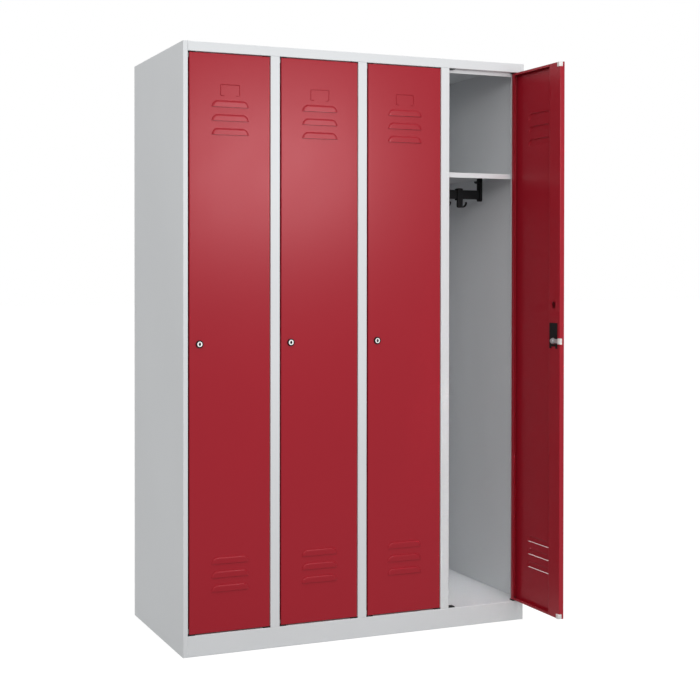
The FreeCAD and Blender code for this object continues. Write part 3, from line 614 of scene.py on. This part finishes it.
@dataclass(frozen=True)
class DoorLeaf:
    """Door pan folded from one sheet, with louvres, a label holder, deep flanges and holes for the lock.

    It is drawn closed, with the pivot axis as origin, and then turned to the angle at which it stands.
    """

    bay: int
    free_edge: float = -253.5
    hinge_edge: float = 8.5
    face: float = -6.5
    back: float = 10.5
    bottom: float = 68.0
    top: float = 1817.5
    bend: float = 2.0
    sheet: float = 0.8
    latch_flange: float = 57.0
    hinge_flange: float = 15.0
    end_flange: float = 7.0
    end_gap: float = 0.6
    lock_inset: float = 32.0
    louvre: Louvre = Louvre()
    louvre_heights: tuple[float, ...] = (191.0, 233.0, 275.0, 1573.0, 1615.0, 1657.0)
    cutouts: tuple[Cutout, ...] = (Cutout(941.0, 9.7), Cutout(1054.0, 8.5, 5.0))
    buffer: Buffer = Buffer()
    label_width: float = 62.0
    label_height: float = 33.0
    label_bottom: float = 1692.0
    label_lug: float = 12.0
    label_corner: float = 3.0
    label_rib: float = 2.0
    label_relief: float = 1.5
    # Lines of points beside the louvres and along the hinge flange, which keep the flats even.
    skin_line: float = 100.0
    flange_line: float = 8.0

    @property
    def middle(self) -> float:
        """Middle of the leaf, across it."""
        return (self.free_edge + self.hinge_edge) / 2

    @property
    def lock_x(self) -> float:
        """Place of the lock across the leaf."""
        return self.free_edge + self.lock_inset

    def outline(self) -> Array:
        """Cross-section of the pan.

        It runs from the fold that closes the latch flange, round the flange's two bends, along the skin and
        round two more bends to the edge of the hinge flange; a bend is a quarter circle.

        Returns:
            Points (x, y).
        """
        bend = self.bend
        turn = sweep(5, 0.0, 90.0)
        over, along = bend * (1.0 - np.sin(turn)), bend * (1.0 - np.cos(turn))
        margin = self.lock_inset - self.buffer.width
        holes = np.unique(np.concatenate([hole.columns() for hole in self.cutouts] + [[-margin, margin]]))
        latch_edge = self.free_edge + self.latch_flange
        latch_x = (self.lock_x + holes)[::-1]
        skin_x = self.middle + np.concatenate([[-self.skin_line], self.louvre.columns(), [self.skin_line]])
        hinge_x = self.hinge_edge - np.array([bend + self.flange_line, self.hinge_flange])
        parts = [
            (np.array([latch_edge]), np.array([self.face + bend])),
            (latch_edge - along, self.back - over),
            (latch_x, np.full(len(latch_x), self.back)),
            (self.free_edge + over, self.back - along),
            (np.array([self.free_edge]), np.array([self.back - self.buffer.wrap])),
            (self.free_edge + along, self.face + over),
            (skin_x, np.full(len(skin_x), self.face)),
            (self.hinge_edge - over, self.face + along),
            (self.hinge_edge - along, self.back - over),
            (hinge_x, np.full(len(hinge_x), self.back)),
        ]
        return np.concatenate([np.stack(part, axis=-1) for part in parts])

    def on_skin(self, section: Array) -> Array:
        """True for the points of the cross-section on the skin."""
        return np.abs(section[:, 1] - self.face) < TOUCH

    def on_latch(self, section: Array) -> Array:
        """True for the points of the cross-section on the latch flange."""
        return (np.abs(section[:, 1] - self.back) < TOUCH) & (section[:, 0] < self.middle)

    def louvre_rows(self, section: Array, bottom: float) -> list[Row]:
        """Rows of a louvre, which follow its outline.

        The first two lie along its open lower edge, one on the skin and one on the hood.

        Args:
            section: Cross-section of the pan.
            bottom: Height of the lower edge.

        Returns:
            The rows from the bottom up.
        """
        flat, skin = np.zeros(len(section)), self.on_skin(section)
        across = section[:, 0] - self.middle
        arch = np.where(skin, self.louvre.arch(across), 0.0)
        rows = [(flat + bottom, flat, flat)]
        for step in np.sin(sweep(9, 0.0, 90.0)):
            lift = np.where(skin, self.louvre.relief(across, step * arch), 0.0)
            rows.append((bottom + step * arch, lift, flat))
        return rows

    def rows(self, section: Array) -> tuple[list[Row], list[Band]]:
        """Rows of the sheet from the bottom to the top.

        A quarter circle bends each end back. Two rows part round a hole, as they do at the lower edge of a
        louvre, and the band between them is open there.

        Args:
            section: Cross-section of the pan.

        Returns:
            The rows and the open bands.
        """
        flat, latch = np.zeros(len(section)), self.on_latch(section)
        across_lock = section[:, 0] - self.lock_x
        turn = sweep(5, 90.0, 0.0)
        rise, roll = self.bend * (1.0 - np.sin(turn)), self.bend * (1.0 - np.cos(turn))
        rows = [(flat + self.bottom + z, flat, flat + depth) for z, depth in zip(rise, roll)]
        rows.append((flat + self.bottom + self.buffer.height, flat, flat))
        bands = []
        shapes = [(z, self.louvre) for z in self.louvre_heights]
        shapes += [(hole.height, hole) for hole in self.cutouts]
        for z, shape in sorted(shapes, key=lambda pair: pair[0]):
            rows.append((flat + z - shape.reach, flat, flat))
            if isinstance(shape, Louvre):
                bands.append((len(rows), self.on_skin(section)))
                rows += self.louvre_rows(section, z)
                rows.append((flat + z + shape.height + shape.reach, flat, flat))
            else:
                arch = np.where(latch, shape.arch(across_lock), 0.0)
                bands.append((len(rows), latch & shape.inside(across_lock)))
                rows += [(z - arch, flat, flat), (z + arch, flat, flat)]
                rows.append((flat + z + shape.reach, flat, flat))
        rows.append((flat + self.top - self.buffer.height, flat, flat))
        rows += [(flat + self.top - z, flat, flat + depth) for z, depth in zip(rise[::-1], roll[::-1])]
        return rows, bands

    def wrap(self) -> Surface:
        """Latch flange, skin and hinge flange in one sheet: the cross-section carried up through the rows.

        Faces in the open bands, and in the two corners that the buffers fill, are left out.

        Returns:
            The outer surface of the sheet.
        """
        section = self.outline()
        x, y = section[:, 0], section[:, 1]
        rows, bands = self.rows(section)
        height, lift, depth = (np.stack(part) for part in zip(*rows))
        far = np.maximum(y, self.face + depth) - lift
        surface = Surface.grid(lattice(x, far, height))
        keep = np.ones((len(rows) - 1, len(x) - 1), dtype=bool)
        for band, inside in bands:
            keep[band, inside[:-1] & inside[1:]] = False
        cap, level = self.buffer, height[:, 0]
        at_corner = (x <= self.free_edge + cap.width + TOUCH) & (y >= self.back - cap.wrap - TOUCH)
        for at_end in (level <= self.bottom + cap.height, level >= self.top - cap.height):
            keep[np.ix_(at_end[:-1] & at_end[1:], at_corner[:-1] & at_corner[1:])] = False
        return Surface(surface.points, surface.faces[keep.reshape(-1)])

    def end_wall(self, upper: bool) -> Surface:
        """Wall across an end of the pan, and the narrow flange folded from it between the side flanges.

        The wall is a grid of six faces, without the one in the corner that the buffer fills. The fold is a
        quarter circle.

        Args:
            upper: True for the top.

        Returns:
            The outer surface of both.
        """
        x = np.array([self.free_edge, self.free_edge + self.buffer.width, self.middle, self.hinge_edge])
        depth = np.array([self.face + self.bend, self.back - self.buffer.wrap, self.back])
        level = self.top if upper else self.bottom
        wall = Surface.grid(lattice(x[None, :], depth[:, None], level))
        wall.faces = np.delete(wall.faces, len(x) - 1, axis=0)
        turn = sweep(5, 0.0, 90.0)
        inward = -1.0 if upper else 1.0
        sunk = level + inward * np.concatenate([self.bend * (1.0 - np.cos(turn)), [self.end_flange]])
        far = self.back - np.concatenate([self.bend * (1.0 - np.sin(turn)), [0.0]])
        left = self.free_edge + self.latch_flange + self.end_gap
        right = self.hinge_edge - self.hinge_flange - self.end_gap
        flange = Surface.grid(lattice(np.array([[left, right]]), far[:, None], sunk[:, None]))
        surface = Surface.union(wall, flange)
        return surface if upper else surface.turned()

    def label_rib_strip(self, side: float) -> Surface:
        """One bracket of the label holder: a half ellipse carried along a C with rounded corners.

        Args:
            side: -1 for the left bracket, 1 for the right one.

        Returns:
            The rib's surface, faded into the skin at its lower end; the upper ends of both brackets meet.
        """
        corner, half = self.label_corner, self.label_width / 2
        low, high = self.label_bottom, self.label_bottom + self.label_height
        turn = sweep(6, 0.0, 90.0)
        ends = np.linspace(1.0, 0.0, 5)[:-1]
        lower, upper = corner + (self.label_lug - corner) * ends, corner + (half - corner) * ends
        bow, swing = corner * (1.0 - np.sin(turn)), corner * (1.0 - np.cos(turn))
        depth = np.concatenate([lower, bow, bow[::-1], upper[::-1]])
        level = np.ones(len(ends))
        rise = np.concatenate([low * level, low + swing, high - swing[::-1], high * level])
        path = np.stack([self.middle + side * (half - depth), rise], axis=-1)
        along = np.gradient(path, axis=0)
        along /= np.linalg.norm(along, axis=1, keepdims=True)
        normal = np.stack([along[:, 1], -along[:, 0]], axis=-1)
        fade = np.ones(len(path))
        fade[0] = 0.0
        round_over = sweep(7, 0.0, 180.0)
        aside = (self.label_rib / 2 * np.cos(round_over))[None, :, None]
        shift = path[:, None, :] + normal[:, None, :] * aside
        lift = self.label_relief * np.sin(round_over)[None, :] * fade[:, None]
        surface = Surface.grid(lattice(shift[..., 0], self.face - lift, shift[..., 1]))
        return surface.turned() if side < 0 else surface

    def build(self, materials: Materials) -> None:
        """Make the leaf, its label holder and its buffers, and hang them on the pivot.

        Args:
            materials: Materials of all slots.
        """
        body = f"door_{self.bay}"
        joint = next(item for item in frame["joints"] if item["name"] == f"{body}_hinge")
        pivot = np.array([joint["pos_m"][0] / MM, joint["pos_m"][1] / MM, 0.0])
        angle = math.radians(-joint["range_deg"][0])
        pan = Surface.union(self.wrap(), self.end_wall(True), self.end_wall(False))
        leaf = pan.moved(pivot, angle).piece(f"door_pan_{self.bay}")
        thicken(leaf, self.sheet)
        finish_piece(leaf, Slot.DOOR, body, materials, f"door_leaf_{self.bay}")
        ribs = Surface.union(self.label_rib_strip(-1.0), self.label_rib_strip(1.0))
        label = ribs.moved(pivot, angle).piece(f"label_holder_{self.bay}")
        finish_piece(label, Slot.DOOR, body, materials)
        depth, levels = self.back - self.buffer.wrap, (self.bottom, self.top - self.buffer.height)
        pair = Surface.union(*(self.buffer.block(np.array([self.free_edge, depth, z])) for z in levels))
        caps = pair.moved(pivot, angle).piece(f"door_buffers_{self.bay}")
        finish_piece(caps, Slot.BUFFER, body, materials, f"door_bumpers_{self.bay}")


@dataclass(frozen=True)
class CamCap:
    """White cap pushed over the tip of a lock cam, so that the door shuts quietly."""

    bay: int
    height: float = 18.4
    length: float = 12.0
    cam: float = 3.0
    skin: float = 0.15
    front: float = 0.6
    rear: float = 6.0
    rounding: float = 1.2

    def build(self, materials: Materials) -> None:
        """Make the cap on its cam, which points to the free edge of an open door and upwards on a shut one.

        Args:
            materials: Materials of all slots.
        """
        low, high = box_mm(f"lock_cam_{self.bay}")
        middle = (low + high) / 2
        half = self.height / 2
        if high[1] - low[1] > high[2] - low[2]:
            first = np.array([high[0] - self.cam - self.rear, low[1] - self.front, middle[2] - half])
            last = np.array([high[0] + self.skin, low[1] + self.length, middle[2] + half])
        else:
            first = np.array([middle[0] - half, low[1] - self.skin, high[2] - self.length])
            last = np.array([middle[0] + half, low[1] + self.cam + self.rear, high[2] + self.front])
        item = rounded_block(first, last, self.rounding).piece(f"cam_cap_{self.bay}")
        finish_piece(item, Slot.BUFFER, f"lock_{self.bay}", materials)


@dataclass(frozen=True)
class LockFace:
    """Front of a lock: a black ring round its bright face, and painted key-slot shade in the middle."""

    bay: int
    # Size and crown of the black lens of painted key-slot shade.
    key_width: float = 8.0
    key_height: float = 12.0
    key_crown: float = 0.25
    ring_inner: float = 8.0
    ring_outer: float = 11.2
    ring_crown: float = 0.7
    face_radius: float = 9.2
    gap: float = 0.15
    seat: float = 0.3

    def key_slot_shade(self) -> Surface:
        """Crowned black lens with a flat back: painted shade where the key slot would be.

        Its width falls with the square of the height over its middle, and its crown with both squares.

        Returns:
            The closed surface, with the middle of its back at the origin.
        """
        up, across = np.meshgrid(np.linspace(-1.0, 1.0, 21), np.linspace(-1.0, 1.0, 9), indexing="ij")
        crown = self.key_crown * (1.0 - up**2) * (1.0 - across**2)
        x, z = self.key_width / 2 * across * (1.0 - up**2), self.key_height / 2 * up
        return Surface.union(Surface.grid(lattice(x, -crown, z)), Surface.grid(lattice(x, 0.0, z)).turned())

    def ring(self) -> Surface:
        """Half ellipse carried round the lock's axis.

        Its flat back is seated in the rosette and steps forward to clear the bright face.

        Returns:
            The closed surface, with the middle of the bright face at the origin.
        """
        section, around = sweep(17, 0.0, 360.0)[:, None], sweep(49, 0.0, 360.0)[None, :-1]
        mean, half = (self.ring_outer + self.ring_inner) / 2, (self.ring_outer - self.ring_inner) / 2
        radius = mean + half * np.cos(section)
        back = np.where(radius > self.face_radius, -self.seat, self.gap)
        lift = np.where(section <= math.pi, self.gap + self.ring_crown * np.sin(section), back)
        points = lattice(radius * np.cos(around), -lift, radius * np.sin(around))
        return Surface.grid(points, closed=True)

    def build(self, materials: Materials) -> None:
        """Make both on the bright face, which looks to the right where the door stands open.

        Args:
            materials: Materials of all slots.
        """
        low, high = box_mm(f"lock_plug_{self.bay}")
        opened = high[0] - low[0] > high[1] - low[1]
        place = (low + high) / 2
        place[0 if opened else 1] = high[0] if opened else low[1]
        angle = math.radians(90.0 if opened else 0.0)
        # The black lens is painted shade on the bright face, in place of a cut key slot.
        for name, body, shape in (("key_slot_shade", "lock", self.key_slot_shade()), ("lock_ring", "door", self.ring())):
            item = shape.moved(place, angle).piece(f"{name}_{self.bay}")
            finish_piece(item, Slot.BLACK, f"{body}_{self.bay}", materials)


@dataclass(frozen=True)
class CoverWeb:
    """Web between the two prongs of a lock cover, just below the cam's hub."""

    bay: int
    width: float = 21.0
    drop: float = 6.5
    height: float = 7.0
    rounding: float = 0.4

    def build(self, materials: Materials) -> None:
        """Make the web in the middle of its cover, as thick as the cover is.

        Args:
            materials: Materials of all slots.
        """
        low, high = box_mm(f"lock_cover_{self.bay}")
        first, last = low.copy(), high.copy()
        across = 0 if high[0] - low[0] > high[1] - low[1] else 1
        first[across] = (low[across] + high[across] - self.width) / 2
        last[across] = first[across] + self.width
        first[2] = low[2] + self.drop
        last[2] = first[2] + self.height
        item = rounded_block(first, last, self.rounding).piece(f"cover_web_{self.bay}")
        finish_piece(item, Slot.BLACK, f"door_{self.bay}", materials)


@dataclass(frozen=True)
class CoatHook:
    """Coat hook: a sleeve that slides on the rail, a stem and a prong that curls up to the right."""

    bay: int
    side: Side
    width: float = 21.0
    front: float = -54.3
    back: float = -35.7
    wall: float = 4.0
    sleeve_bottom: float = 1406.7
    sleeve_top: float = 1448.0
    sleeve_round: float = 2.5
    passage_bottom: float = 1410.7
    passage_top: float = 1442.3
    passage_round: float = 1.0
    dome: float = 8.0
    shoulder: float = 2.0
    overlap: float = 1.0
    plate: float = 8.0
    prong_centre: float = 1398.5
    reach: float = 17.5
    prong: float = 5.5
    corner: float = 5.0
    edge: float = 1.6
    # Straight lengths of the stem over its corner and over the mouth.
    corner_line: float = 8.0
    mouth_line: float = 3.0

    @property
    def name(self) -> str:
        """Bay and side, as in the names of its body and of its solid."""
        return f"{self.bay}_{self.side.value}"

    @property
    def middle(self) -> float:
        """Middle of the sleeve, half its width from the solid's left end."""
        return box_mm(f"coat_hook_{self.name}")[0][0] + self.width / 2

    def ring(self, low: Array, high: Array, rounding: float) -> Array:
        """Upright rectangle with quarter circles at its corners.

        Args:
            low: Least y and z.
            high: Greatest y and z.
            rounding: Radius of the corners.

        Returns:
            Points (y, z), from the lower right corner round against the clock as seen from the right.
        """
        (left, lower), (right, upper) = low + rounding, high - rounding
        centres = ((right, lower), (right, upper), (left, upper), (left, lower))
        turns = (-90.0, 0.0, 90.0, 180.0)
        bows = [arc(centre, rounding, sweep(5, turn, turn + 90.0)) for centre, turn in zip(centres, turns)]
        return np.concatenate(bows)

    def sleeve(self) -> Surface:
        """Sleeve round the rail.

        Two rectangles with round corners, one outside and one inside, are carried along the rail. The top of
        the outer one falls in a quarter ellipse towards both ends, and rings join the two there.

        Returns:
            The closed surface.
        """
        turn = sweep(7, 0.0, 90.0)
        over = self.width / 2 - self.dome + self.dome * np.sin(turn)
        x = self.middle + np.concatenate([-over[::-1], over])
        fall = (self.sleeve_top - self.passage_top - self.shoulder) * (1.0 - np.cos(turn))
        top = self.sleeve_top - np.concatenate([fall[::-1], fall])
        outer = self.ring(np.array([self.front, self.sleeve_bottom]),
                          np.array([self.back, self.sleeve_top]), self.sleeve_round)
        inner = self.ring(np.array([self.front + self.wall, self.passage_bottom]),
                          np.array([self.back - self.wall, self.passage_top]), self.passage_round)
        shells = []
        for ring in (outer, inner):
            z = np.minimum(ring[None, :, 1], top[:, None])
            shells.append(lattice(x[:, None], ring[None, :, 0], z))
        left, right = (np.stack([shells[0][row], shells[1][row]]) for row in (0, -1))
        return Surface.union(
            Surface.grid(shells[0], closed=True).turned(),
            Surface.grid(shells[1], closed=True),
            Surface.grid(left, closed=True),
            Surface.grid(right, closed=True).turned(),
        )

    def rails(self) -> tuple[Array, Array]:
        """Both edges of the stem and the prong, point by point opposite each other.

        The outer edge goes down the stem, round its corner, along the bottom and round the prong. The inner
        edge goes down the stem and round the mouth. A half circle brings both together at the tip.

        Returns:
            Points (x, z) of the outer and of the inner edge.
        """
        left, right = self.middle - self.width / 2, self.middle + self.width / 2
        start, floor = self.sleeve_bottom + self.overlap, self.prong_centre - self.reach
        mouth, tip = self.reach - self.prong, self.prong / 2
        curl, close = sweep(13, -90.0, 0.0), sweep(6, 15.0, 90.0)
        centre, end = (right, self.prong_centre), (right + self.reach - tip, self.prong_centre)
        outer = np.concatenate([
            [(left, start), (left, floor + self.corner + self.corner_line)],
            arc((left + self.corner, floor + self.corner), self.corner, sweep(6, 180.0, 270.0)),
            arc(centre, self.reach, curl),
            arc(end, tip, close),
        ])
        down = np.linspace(start, self.prong_centre - mouth + self.mouth_line, 8)
        inner = np.concatenate([
            np.stack([np.full(len(down), right), down], axis=-1),
            arc(centre, mouth, curl),
            arc(end, tip, math.pi - close),
        ])
        return outer, inner

    def stem(self) -> Surface:
        """Stem and prong in one bar.

        A rectangle with round corners is carried along the hook. It reaches from one edge to the other and
        through the plate's thickness; its corners get smaller where the edges meet at the tip.

        Returns:
            The closed surface.
        """
        outer, inner = self.rails()
        across = inner - outer
        span = np.linalg.norm(across, axis=1)
        unit = across / np.maximum(span, TOUCH)[:, None]
        rounding = np.minimum(self.edge, span / 2)
        turn = sweep(4, 0.0, 90.0)
        near = rounding[:, None] * (1.0 - np.sin(turn))[None, :]
        deep = self.edge * (1.0 - np.cos(turn))[None, :] + np.zeros_like(near)
        far = span[:, None] - near[:, ::-1]
        place = np.concatenate([near[:, ::-1], far[:, ::-1], far, near], axis=1)
        depth = np.concatenate([deep[:, ::-1], deep, self.plate - deep[:, ::-1], self.plate - deep], axis=1)
        x = outer[:, :1] + unit[:, :1] * place
        z = outer[:, 1:] + unit[:, 1:] * place
        points = lattice(x, self.front + depth, z)
        ends = points[[0, -1]]
        first, last = np.split(np.broadcast_to(ends.mean(axis=1, keepdims=True), ends.shape), 2)
        return Surface.grid(np.concatenate([first, points, last]), closed=True)

    def build(self, materials: Materials) -> None:
        """Make the hook.

        Args:
            materials: Materials of all slots.
        """
        item = Surface.union(self.sleeve(), self.stem()).piece(f"hook_shape_{self.name}")
        finish_piece(item, Slot.BLACK, f"hook_{self.name}", materials, f"coat_hook_{self.name}")


def dress_solids(materials: Materials) -> None:
    """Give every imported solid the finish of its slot, and the pivot pins their own.

    Args:
        materials: Materials of all slots.
    """
    painted = DARK_RED_PIN.material()
    for entry in frame["record"]["subparts"]:
        item = frame["nodes"][entry["node"]]
        material = painted if entry["node"] == "hinge_pins" else materials[Slot(entry["material_slot"])]
        for holder in item.material_slots:
            holder.material = material
        LOG.info("%s: %s", entry["node"], material.name)


@dataclass(frozen=True)
class Lamp:
    """Soft lamp: a bright rectangle that faces a point. A small spread is that of a lamp behind a grid."""

    name: str
    place: Axes
    target: Axes
    size: tuple[float, float]
    power: float
    spread: float = 180.0

    def hang(self) -> None:
        """Put the lamp up and turn it to its target."""
        data = bpy.data.lights.new(self.name, "AREA")
        data.shape = "RECTANGLE"
        data.size, data.size_y = self.size
        data.energy = self.power
        data.spread = math.radians(self.spread)
        item = put(self.name, data)
        item.location = self.place
        item.rotation_euler = (Vector(self.target) - Vector(self.place)).to_track_quat("-Z", "Y").to_euler()


@dataclass(frozen=True)
class Studio:
    """White studio: a floor that keeps a soft shadow, an even surround, soft lamps and the camera."""

    camera_place: Axes = (-1.7996, -3.7132, 1.1515)
    yaw: float = 20.458
    pitch: float = -0.502
    lens: float = 63.04
    sensor: float = 36.0
    shift: tuple[float, float] = (0.1971, -0.0929)
    surround: float = 0.68
    floor_reach: float = 40.0
    floor_grey: float = 0.3
    floor_glow: float = 0.82
    lamps: tuple[Lamp, ...] = (
        Lamp("key", (0.66, -2.62, 1.72), (-0.4, -0.25, 1.4), (0.95, 0.66), 21.0),
        Lamp("overhead", (-0.8, -3.1, 3.7), (0.2, -0.2, 0.3), (2.0, 1.6), 14.0),
        Lamp("front", (-2.0, -4.0, 2.4), (0.35, 0.0, 0.7), (1.2, 1.0), 30.0),
        Lamp("side", (-3.4, -0.6, 3.9), (-0.6, 0.0, 1.5), (1.6, 1.6), 13.5),
        Lamp("bay", (0.3, -1.6, 3.8), (0.45, -0.02, 0.06), (0.2, 0.2), 0.13, spread=8.0),
    )

    def camera(self) -> None:
        """Put up the camera, almost level and turned to the right."""
        data = bpy.data.cameras.new("camera")
        data.lens = self.lens
        data.sensor_width = self.sensor
        data.shift_x, data.shift_y = self.shift
        item = put("camera", data)
        item.location = self.camera_place
        item.rotation_euler = (math.radians(90.0 + self.pitch), 0.0, math.radians(-self.yaw))
        bpy.context.scene.camera = item

    def by_ray(self, tree: bpy.types.NodeTree, target: Socket, lighting: float, seen: float) -> None:
        """Give a socket one value where its surface is seen and another where it only lights.

        It is seen by rays from the camera and by those that metal and glass send on.

        Args:
            tree: The nodes of the socket.
            target: The socket.
            lighting: Its value for other rays.
            seen: Its value where it is seen.
        """
        path = tree.nodes.new("ShaderNodeLightPath")
        total = path.outputs["Is Camera Ray"]
        for name in ("Is Glossy Ray", "Is Transmission Ray"):
            larger = tree.nodes.new("ShaderNodeMath")
            larger.operation = "MAXIMUM"
            tree.links.new(total, larger.inputs[0])
            tree.links.new(path.outputs[name], larger.inputs[1])
            total = larger.outputs[0]
        level = tree.nodes.new("ShaderNodeMapRange")
        level.inputs["To Min"].default_value = lighting
        level.inputs["To Max"].default_value = seen
        tree.links.new(total, level.inputs["Value"])
        tree.links.new(level.outputs["Result"], target)

    def world(self) -> None:
        """Even surround, white where it is seen and weaker where it lights."""
        world = bpy.data.worlds.new("surround")
        world.use_nodes = True
        light = world.node_tree.nodes["Background"]
        light.inputs["Color"].default_value = (1.0, 1.0, 1.0, 1.0)
        self.by_ray(world.node_tree, light.inputs["Strength"], self.surround, 1.0)
        bpy.context.scene.world = world

    def floor(self) -> None:
        """Pale floor: where it is seen, a glow brings it up to white and its own light keeps the shadow."""
        mesh = bpy.data.meshes.new("floor")
        reach, grey = self.floor_reach, self.floor_grey
        corners = [(-reach, -reach, 0.0), (reach, -reach, 0.0), (reach, reach, 0.0), (-reach, reach, 0.0)]
        mesh.from_pydata(corners, [], [(0, 1, 2, 3)])
        material = bpy.data.materials.new("floor")
        material.use_nodes = True
        shader = material.node_tree.nodes["Principled BSDF"]
        shader.inputs["Base Color"].default_value = (grey, grey, grey, 1.0)
        shader.inputs["Roughness"].default_value = 1.0
        shader.inputs["Specular IOR Level"].default_value = 0.0
        shader.inputs["Emission Color"].default_value = (1.0, 1.0, 1.0, 1.0)
        self.by_ray(material.node_tree, shader.inputs["Emission Strength"], 0.0, self.floor_glow)
        mesh.materials.append(material)
        put("floor", mesh)

    def build(self) -> None:
        """Put up the camera, the surround, the floor and the lamps."""
        self.camera()
        self.world()
        self.floor()
        for lamp in self.lamps:
            lamp.hang()
        bpy.context.scene.view_settings.view_transform = "Standard"


def main() -> None:
    """Dress the solids, build the pieces bay by bay and put up the studio."""
    logging.basicConfig(level=logging.INFO, format="%(name)s %(message)s")
    materials = {slot: finish.material() for slot, finish in FINISHES.items()}
    dress_solids(materials)
    for bay in BAYS:
        hooks = [CoatHook(bay, side) for side in Side]
        for piece in (DoorLeaf(bay), CamCap(bay), LockFace(bay), CoverWeb(bay), *hooks):
            piece.build(materials)
    Studio().build()


if __name__ == "__main__":
    main()
